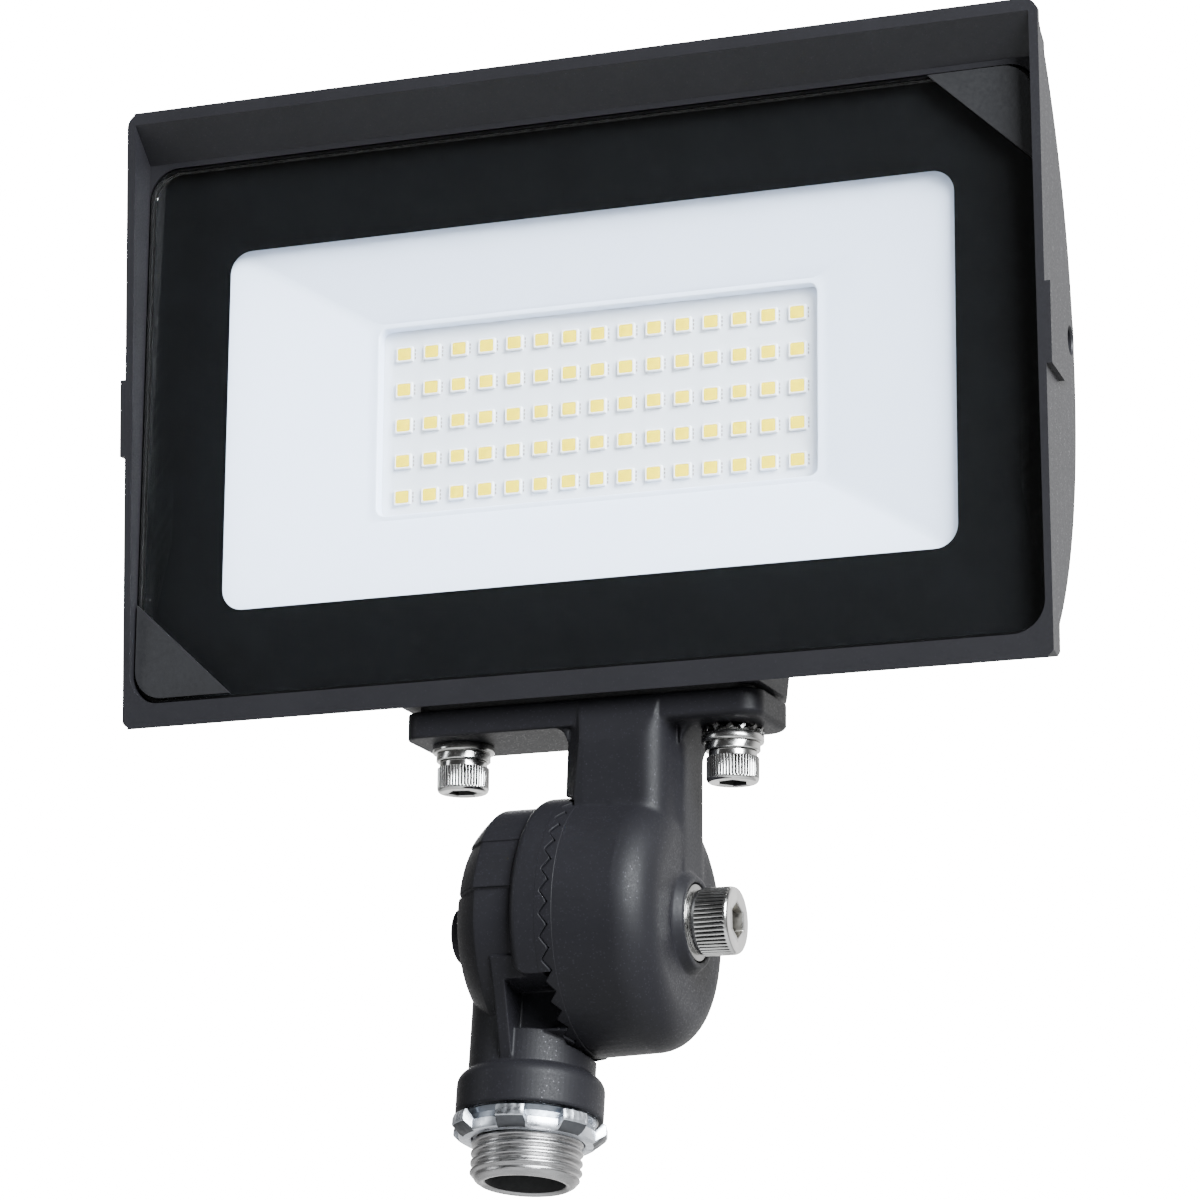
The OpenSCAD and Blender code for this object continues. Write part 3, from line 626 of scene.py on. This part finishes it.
FLIP = Matrix.Rotation(math.pi, 4, "X")
GAP = 55.4 / 2
Z_FL = 37.3 - 1.6
Z_SL = Z_FL - 1.6
Z_ST = 37.3 - 1.7
Z_FR = Z_ST - 1.6
Z_SR = Z_FR - 1.6
for side_name, sx, zseat in (("left", -1, Z_SL), ("right", 1, Z_SR)):
    socket_head("head_bolt_" + side_name, "head", 2.95, 18 - 0.2, 5.05, 6, 5, 50, 0.75,
                HEAD @ mm_place(sx * GAP, 0, zseat) @ FLIP @ Matrix.Rotation(math.radians(11 * sx), 4, "Z"),
                MAT["chrome"], ["head_bolts"], plain_from=1.15, depth=0.24, neck=0.4)
socket_head("clamp_screw", "clamp", 4.0, 44.6, 6.5, 7.95, 6, 46, 0.85,
            BASE @ mm_place(20.75, 0, 0) @ turn_to_x() @ Matrix.Rotation(math.radians(12), 4, "Z"),
            MAT["chrome"], ["clamp_bolt"], plain_from=1.35, depth=0.3, neck=0.3, inside="socket")


def flat_washer(name, body, ro, ri, z0, z1, place, nodes, mat, edge=0.28, dish=0.0):
    e2 = edge
    prof = [(ri + 0.12, z0), (ro - e2, z0), (ro - e2 * 0.3, z0 + e2 * 0.3), (ro, z0 + e2), (ro, z1 - e2 * 0.6),
            (ro - e2 * 0.6, z1), (ri + 0.12, z1), (ri, z1 - 0.12), (ri, z0 + 0.12)]
    v, f = lathe(prof, 96, True)
    o = put(name, v, f, mat, body, nodes, place=place)
    crisp(o, 50)
    return o


flat_washer("head_flat_washer_left", "head", 6.0, 3.2, Z_FL, 37.3, HEAD @ mm_place(-GAP, 0, 0), ["head_flat_washers"], MAT["washer"])
flat_washer("head_flat_washer_right", "head", 6.0, 3.2, Z_FR, Z_ST, HEAD @ mm_place(GAP, 0, 0), ["head_flat_washers"], MAT["washer"])
# the clamp washer wears the darker star-washer steel: painted shade
flat_washer("clamp_flat_washer", "clamp", 7.3, 4.2, 19.95, 20.75, BASE @ turn_to_x(), ["clamp_washer"], MAT["star"], 0.2)


def split_washer(name, ro, ri, z0, z1, place, start):
    """Helical spring washer with its slanted gap."""
    verts, faces = [], []
    n, lift, gap = 84, 0.0, 7.0
    c = 0.18
    sect = [(ri + c, 0), (ro - c, 0), (ro, c), (ro, 1 - c), (ro - c, 1), (ri + c, 1), (ri, 1 - c), (ri, c)]
    h = z1 - z0
    for i in range(n + 1):
        t = i / n
        for r, k in sect:
            kk = c / h if k == c else (1 - c / h if k == 1 - c else k)
            a = math.radians(start + gap + (360 - 2 * gap) * t) + (kk - 0.5) * 0.16 * 1
            verts.append((r * math.cos(a), r * math.sin(a), z0 + h * kk))
    for i in range(n):
        for k in range(8):
            m = (k + 1) % 8
            faces.append((8 * i + k, 8 * i + m, 8 * (i + 1) + m, 8 * (i + 1) + k))
    faces += [tuple(range(8)), tuple(8 * n + k for k in range(7, -1, -1))]
    o = put(name, verts, faces, MAT["washer"], "head", ["head_spring_washers"], place=place)
    crisp(o, 35)
    return o


split_washer("head_spring_washer_left", 5.3, 3.15, Z_SL + 0.02, Z_FL - 0.02, HEAD @ mm_place(-GAP, 0, 0), 150)
split_washer("head_spring_washer_right", 5.3, 3.15, Z_SR + 0.02, Z_FR - 0.02, HEAD @ mm_place(GAP, 0, 0), 60)


def star_washer():
    """External star lock washer: a thin ring with fourteen twisted teeth."""
    v, f = lathe([(3.3, 0.1), (4.5, 0.1), (4.6, 0.3), (4.6, 0.75), (4.5, 0.9), (3.3, 0.9), (3.2, 0.75), (3.2, 0.3)], 84, True)
    verts, faces = list(v), list(f)
    for i in range(14):
        a0 = 2 * math.pi * i / 14
        b = len(verts)
        rings = []
        for k, (r, tw, wd, th) in enumerate(((4.3, 0, 0.62, 0.36), (4.9, 18, 0.60, 0.34), (5.5, 34, 0.56, 0.32), (5.95, 40, 0.5, 0.30))):
            tw = math.radians(tw)
            for s, t in ((-1, -1), (1, -1), (1, 1), (-1, 1)):
                u = s * wd * math.cos(tw) - t * th * math.sin(tw)
                w = s * wd * math.sin(tw) + t * th * math.cos(tw)
                verts.append((r * math.cos(a0) - u * math.sin(a0), r * math.sin(a0) + u * math.cos(a0), min(1.62, max(0.06, 0.83 + w * 1.15))))
        for k in range(3):
            for m in range(4):
                q = (m + 1) % 4
                faces.append((b + 4 * k + m, b + 4 * k + q, b + 4 * k + 4 + q, b + 4 * k + 4 + m))
        faces += [(b + 3, b + 2, b + 1, b), (b + 12, b + 13, b + 14, b + 15)]
    o = put("head_star_washer_twisted", verts, faces, MAT["star"], "head", ["head_star_washer"],
            place=HEAD @ mm_place(GAP, 0, Z_ST))
    crisp(o, 30)
    return o


star_washer()


# locknut: a pressed ring with seven lugs bent out and up, and a smooth hub behind them
def locknut():
    n = 240
    verts, faces, rows = [], [], []

    pitch = 360 / 7

    def lug(a, half=12.2, soft=1.3):
        """1 on a lug, 0 between lugs, with steep sides."""
        d = abs((math.degrees(a) - 20.5 + pitch / 2) % pitch - pitch / 2)
        k = min(1.0, max(0.0, (half - d) / soft))
        return k * k * (3 - 2 * k)

    def rough(a, amount):
        """Sheared ends are a little uneven."""
        return amount * (math.sin(a * 61) + 0.6 * math.sin(a * 97 + 1.3) + 0.5 * math.sin(a * 143 + 0.4))

    def ring(between, on_lug, tear=0.0):
        rows.append(list(range(len(verts), len(verts) + n)))
        for i in range(n):
            a = 2 * math.pi * i / n
            k = lug(a)
            r = between[0] + (on_lug[0] - between[0]) * k + rough(a, tear) * k
            z = between[1] + (on_lug[1] - between[1]) * k + rough(a + 0.7, tear) * k
            verts.append((r * math.cos(a), r * math.sin(a), z))

    ring((10.75, -4.45), (10.75, -4.45))
    ring((11.0, -4.7), (11.0, -4.7))
    ring((12.5, -4.72), (12.4, -4.6))
    ring((12.95, -4.45), (13.7, -3.9))
    ring((13.08, -4.1), (14.75, -2.95), 0.01)
    ring((13.1, -3.4), (14.9, -2.65), 0.04)
    ring((13.1, -2.9), (14.85, -1.6), 0.05)
    ring((13.05, -2.55), (14.6, -0.75), 0.04)
    ring((12.85, -2.4), (14.2, -0.62), 0.01)
    ring((12.5, -2.35), (13.0, -1.75))
    ring((12.4, -2.3), (12.45, -2.2))
    ring((12.35, -1.2), (12.35, -1.2))
    ring((12.75, -0.5), (12.75, -0.5))
    ring((12.85, -0.2), (12.85, -0.2))
    ring((12.6, -0.06), (12.6, -0.06))
    ring((10.9, -0.06), (10.9, -0.06))
    ring((10.72, -0.4), (10.72, -0.4))
    zone = []
    for k, (a, b) in enumerate(zip(rows, rows[1:] + rows[:1])):
        for i in range(n):
            j = (i + 1) % n
            faces.append((a[i], a[j], b[j], b[i]))
            on = lug(2 * math.pi * (i + 0.5) / n) > 0.5
            # zone 2, the lugs' undersides, is painted shade
            zone.append(1 if k >= 9 and k < 14 else (2 if on and k in (2, 3) else 0))
    o = put("locknut_pressed", verts, faces, MAT["zinc"], "locknut", ["conduit_locknut"])
    o.data.materials.append(MAT["zinc_hub"])
    o.data.materials.append(MAT["zinc_painted_shade"])
    for p, z in zip(o.data.polygons, zone):
        p.material_index = z
    crisp(o, 32)
    return o


locknut()


# emitters: a white moulded package with a yellow phosphor window
def emitters():
    cols, rows_, px, pz = 15, 5, 5.89, 7.37
    pv, pf, yv, yf = [], [], [], []

    def loft(verts, faces, loops, cap0=True, cap1=True):
        base = len(verts)
        m = len(loops[0])
        for lp in loops:
            verts.extend(lp)
        for k in range(len(loops) - 1):
            for i in range(m):
                j = (i + 1) % m
                faces.append((base + k * m + i, base + k * m + j, base + (k + 1) * m + j, base + (k + 1) * m + i))
        if cap0:
            faces.append(tuple(base + i for i in range(m - 1, -1, -1)))
        if cap1:
            faces.append(tuple(base + (len(loops) - 1) * m + i for i in range(m)))

    def rr(cx, cz, hx, hz, r, y, k=3):
        pts = []
        for sx, sz, a0 in ((1, 1, 0), (-1, 1, 90), (-1, -1, 180), (1, -1, 270)):
            for i in range(k + 1):
                a = math.radians(a0 + 90 * i / k)
                pts.append((cx + sx * (hx - r) + r * math.cos(a), y, cz + sz * (hz - r) + r * math.sin(a)))
        return pts

    for i in range(cols):
        for j in range(rows_):
            cx = (i - (cols - 1) / 2) * px
            cz = 103.1 + 0.15 + (j - (rows_ - 1) / 2) * pz
            loft(pv, pf, [rr(cx, cz, 1.75, 1.5, 0.12, 0.69), rr(cx, cz, 1.75, 1.5, 0.12, 0.0), rr(cx, cz, 1.68, 1.43, 0.12, -0.1),
                          rr(cx, cz, 1.46, 1.26, 0.35, -0.1), rr(cx, cz, 1.34, 1.16, 0.34, 0.16)])
            loft(yv, yf, [rr(cx, cz, 1.44, 1.24, 0.34, 0.10), rr(cx, cz, 1.42, 1.22, 0.33, -0.06), rr(cx, cz, 1.2, 1.0, 0.3, -0.085)])
    sv, sf = [], []
    for i in range(cols):
        for j in range(rows_):
            cx = (i - (cols - 1) / 2) * px
            cz = 103.1 + 0.15 + (j - (rows_ - 1) / 2) * pz
            for k in (-1, 0, 1):
                loft(sv, sf, [rr(cx + 2.08, cz + 0.78 * k, 0.12, 0.27, 0.05, 0.695, 1), rr(cx + 2.08, cz + 0.78 * k, 0.12, 0.27, 0.05, 0.62, 1)])
    put("emitter_solder", sv, sf, MAT["solder"], "head", ["leds"], smooth=False, place=HEAD)
    a = put("emitter_packages", pv, pf, MAT["package"], "head", ["leds"], place=HEAD)
    b = put("emitter_phosphor", yv, yf, MAT["phosphor"], "head", ["leds"], place=HEAD)
    crisp(a, 30)
    crisp(b, 30)


emitters()


# reflector: one moulding with soft mitres and a small bead round its lip
def reflector():
    cz = 103.1

    def loop(hx, hz, r, y, k=8):
        pts = []
        up = LIP_UP * min(1.0, max(0.0, (38.6 - hz) / 20.0))
        for sx, sz, a0 in ((1, 1, 0), (-1, 1, 90), (-1, -1, 180), (1, -1, 270)):
            for i in range(k + 1):
                a = math.radians(a0 + 90 * i / k)
                top = hz + (up if sz > 0 else 0)
                pts.append((sx * (hx - r) + r * math.cos(a), y, cz + sz * (top - r) + r * math.sin(a)))
        return pts

    prof = [(82, 44, 4, -7.2), (81.8, 43.8, 3.9, -7.38), (77.6, 39.25, 1.7, -7.4), (76.9, 38.6, 1.5, -7.33)]
    for t in (0.06, 0.25, 0.5, 0.75, 0.93):
        prof.append((76.5 - (76.5 - 46.2) * t, 38.2 - (38.2 - 19.0) * t, 1.5 + 0.3 * t, -7.3 + 5.55 * t))
    prof += [(46.9, 19.75, 2.2, -1.83), (46.45, 19.25, 2.0, -1.93), (46.0, 18.8, 1.9, -1.86), (45.82, 18.62, 1.8, -1.6),
             (45.8, 18.6, 1.8, 0.5), (45.95, 18.75, 1.9, 0.6), (47.0, 19.8, 2.4, 0.6), (47.1, 19.9, 2.5, 0.45),
             (47.1, 19.9, 2.5, -0.55), (49.0, 21.3, 2.4, -0.95), (76.6, 38.9, 2.0, -6.0), (77.4, 39.3, 2.2, -6.4), (81.8, 43.8, 3.9, -6.4), (82, 44, 4, -6.6)]
    verts, faces = [], []
    loops = [loop(*p) for p in prof]
    m = len(loops[0])
    for lp in loops:
        verts += lp
    L = len(loops)
    for k in range(L):
        k2 = (k + 1) % L
        for i in range(m):
            j = (i + 1) % m
            faces.append((k * m + i, k * m + j, k2 * m + j, k2 * m + i))
    o = put("reflector_moulding", verts, faces, MAT["white"], "head", ["reflector"], place=HEAD)
    crisp(o, 32)
    return o


reflector()

def glass_seal():
    """Black sealing bead that fills the gap between the glass and its pocket."""
    x, lo, hi = 93.0, 48.0, 158.4
    verts, faces = [], []

    def loop(g, y, k=10):
        pts = []
        cz, hz, r = (lo + hi) / 2, (hi - lo) / 2 + g, 6 + g
        for sx, sz, a0 in ((1, 1, 0), (-1, 1, 90), (-1, -1, 180), (1, -1, 270)):
            for i in range(k + 1):
                a = math.radians(a0 + 90 * i / k)
                pts.append((sx * (x + g - r) + r * math.cos(a), y, cz + sz * (hz - r) + r * math.sin(a)))
        return pts

    loops = [loop(0.02, -8.7), loop(0.02, GLASS_FRONT - 0.03), loop(-0.45, GLASS_FRONT - 0.03), loop(-0.4, GLASS_FRONT - 0.16),
             loop(0.2, GLASS_FRONT - 0.2), loop(0.38, GLASS_FRONT), loop(0.38, -8.7)]
    m = len(loops[0])
    for lp in loops:
        verts += lp
    for k in range(len(loops)):
        k2 = (k + 1) % len(loops)
        for i in range(m):
            j = (i + 1) % m
            faces.append((k * m + i, k * m + j, k2 * m + j, k2 * m + i))
    return put("glass_seal_bead", verts, faces, MAT["seal"], "head", place=HEAD)


glass_seal()

# pressed or cast CAD parts keep their mesh and get worked edges
for nm, wd, ang in (("housing", 0.5, 24), ("corner_plates", 0.18, 30), ("rear_cover", 0.5, 30), ("bracket_gasket", 0.15, 30),
                    ("rear_cover_gasket", 0.12, 30), ("driver", 0.6, 30), ("led_board", 0.12, 30)):
    o = N[nm]
    dm = o.modifiers.new("merge", "DECIMATE")
    dm.decimate_type = "DISSOLVE"
    dm.angle_limit = math.radians(0.6)
    bevelled(o, wd, 3 if wd > 0.3 else 2, ang)
    for p in o.data.polygons:
        p.use_smooth = True
    wn_ = o.modifiers.new("weight", "WEIGHTED_NORMAL")
    wn_.keep_sharp = True


# ------------------------------------------------------------------ stage
def stage_plane(name, size, place, turn, mat):
    me = bpy.data.meshes.new(name)
    s = size / 2
    me.from_pydata([(-s, -s, 0), (s, -s, 0), (s, s, 0), (-s, s, 0)], [], [(0, 1, 2, 3)])
    o = bpy.data.objects.new(name, me)
    bpy.context.scene.collection.objects.link(o)
    o.matrix_world = Matrix.Translation(place) @ turn.to_4x4()
    me.materials.append(mat)
    return o


floor_mat = plain("studio_floor", (0.62, 0.62, 0.62), rough=0.9, var=0.01, scale=3)
stage_plane("studio_floor", 8, (0, 0, -1.25), Matrix.Identity(3), floor_mat)

# lit white paper well behind the part, square to the camera
paper, pnt, pp, _ = new_mat("lit_backdrop")
pp.inputs["Base Color"].default_value = (0.9, 0.9, 0.9, 1)
pp.inputs["Roughness"].default_value = 0.95
pp.inputs["Emission Color"].default_value = (1, 1, 1, 1)
pp.inputs["Emission Strength"].default_value = BACK_LIGHT
stage_plane("lit_backdrop", 1.08, (where + fwd * 3900) * MM, world_rot, paper)

world = bpy.data.worlds.new("studio")
bpy.context.scene.world = world
world.use_nodes = True
wn = world.node_tree
bg = wn.nodes["Background"]
bg.inputs["Color"].default_value = (1, 1, 1, 1)
# the room is pale all round and darker in front of the lamp, where the glass looks
face = HEAD.to_3x3() @ Vector((0, -1, 0))
toward_cam = -fwd
dark_way = (2 * face.dot(toward_cam) * face - toward_cam).normalized()
wtc = wn.nodes.new("ShaderNodeTexCoord")
wdot = wn.nodes.new("ShaderNodeVectorMath")
wdot.operation = "DOT_PRODUCT"
wdot.inputs[1].default_value = dark_way
wn.links.new(wtc.outputs["Generated"], wdot.inputs[0])
wmap = wn.nodes.new("ShaderNodeMapRange")
wmap.interpolation_type = "SMOOTHSTEP"
wmap.inputs["From Min"].default_value = 0.35
wmap.inputs["From Max"].default_value = 0.94
wmap.inputs["To Min"].default_value = ROOM_LIGHT
wmap.inputs["To Max"].default_value = ROOM_DARK
wn.links.new(wdot.outputs["Value"], wmap.inputs["Value"])
bdot = wn.nodes.new("ShaderNodeVectorMath")
bdot.operation = "DOT_PRODUCT"
bdot.inputs[1].default_value = (0.1, 0.98, 0.17)
wn.links.new(wtc.outputs["Generated"], bdot.inputs[0])
bmap = wn.nodes.new("ShaderNodeMapRange")
bmap.interpolation_type = "SMOOTHSTEP"
bmap.inputs["From Min"].default_value = 0.25
bmap.inputs["From Max"].default_value = 0.9
bmap.inputs["To Min"].default_value = 0.0
bmap.inputs["To Max"].default_value = ROOM_BACK
wn.links.new(bdot.outputs["Value"], bmap.inputs["Value"])
both = wn.nodes.new("ShaderNodeMath")
both.operation = "ADD"
wn.links.new(wmap.outputs["Result"], both.inputs[0])
wn.links.new(bmap.outputs["Result"], both.inputs[1])
wn.links.new(both.outputs[0], bg.inputs["Strength"])


def softbox(name, place, aim, size, power, size_y=None, color=(1, 1, 1)):
    d = bpy.data.lights.new(name, "AREA")
    d.energy = power
    d.size = size
    d.color = color
    if size_y:
        d.shape = "RECTANGLE"
        d.size_y = size_y
    o = bpy.data.objects.new(name, d)
    bpy.context.scene.collection.objects.link(o)
    direction = Vector(aim) - Vector(place)
    o.matrix_world = Matrix.Translation(place) @ direction.to_track_quat("-Z", "Y").to_matrix().to_4x4()
    return o


COOL = (0.93, 0.97, 1.0)
softbox("key_right", (1.2, -1.05, 0.72), (0, 0, 0.1), 1.0, 146, 1.1, COOL)
softbox("fill_left", (-1.25, -0.8, 0.4), (0, 0, 0.1), 0.3, 5, 1.0, COOL)

bpy.context.view_layer.update()
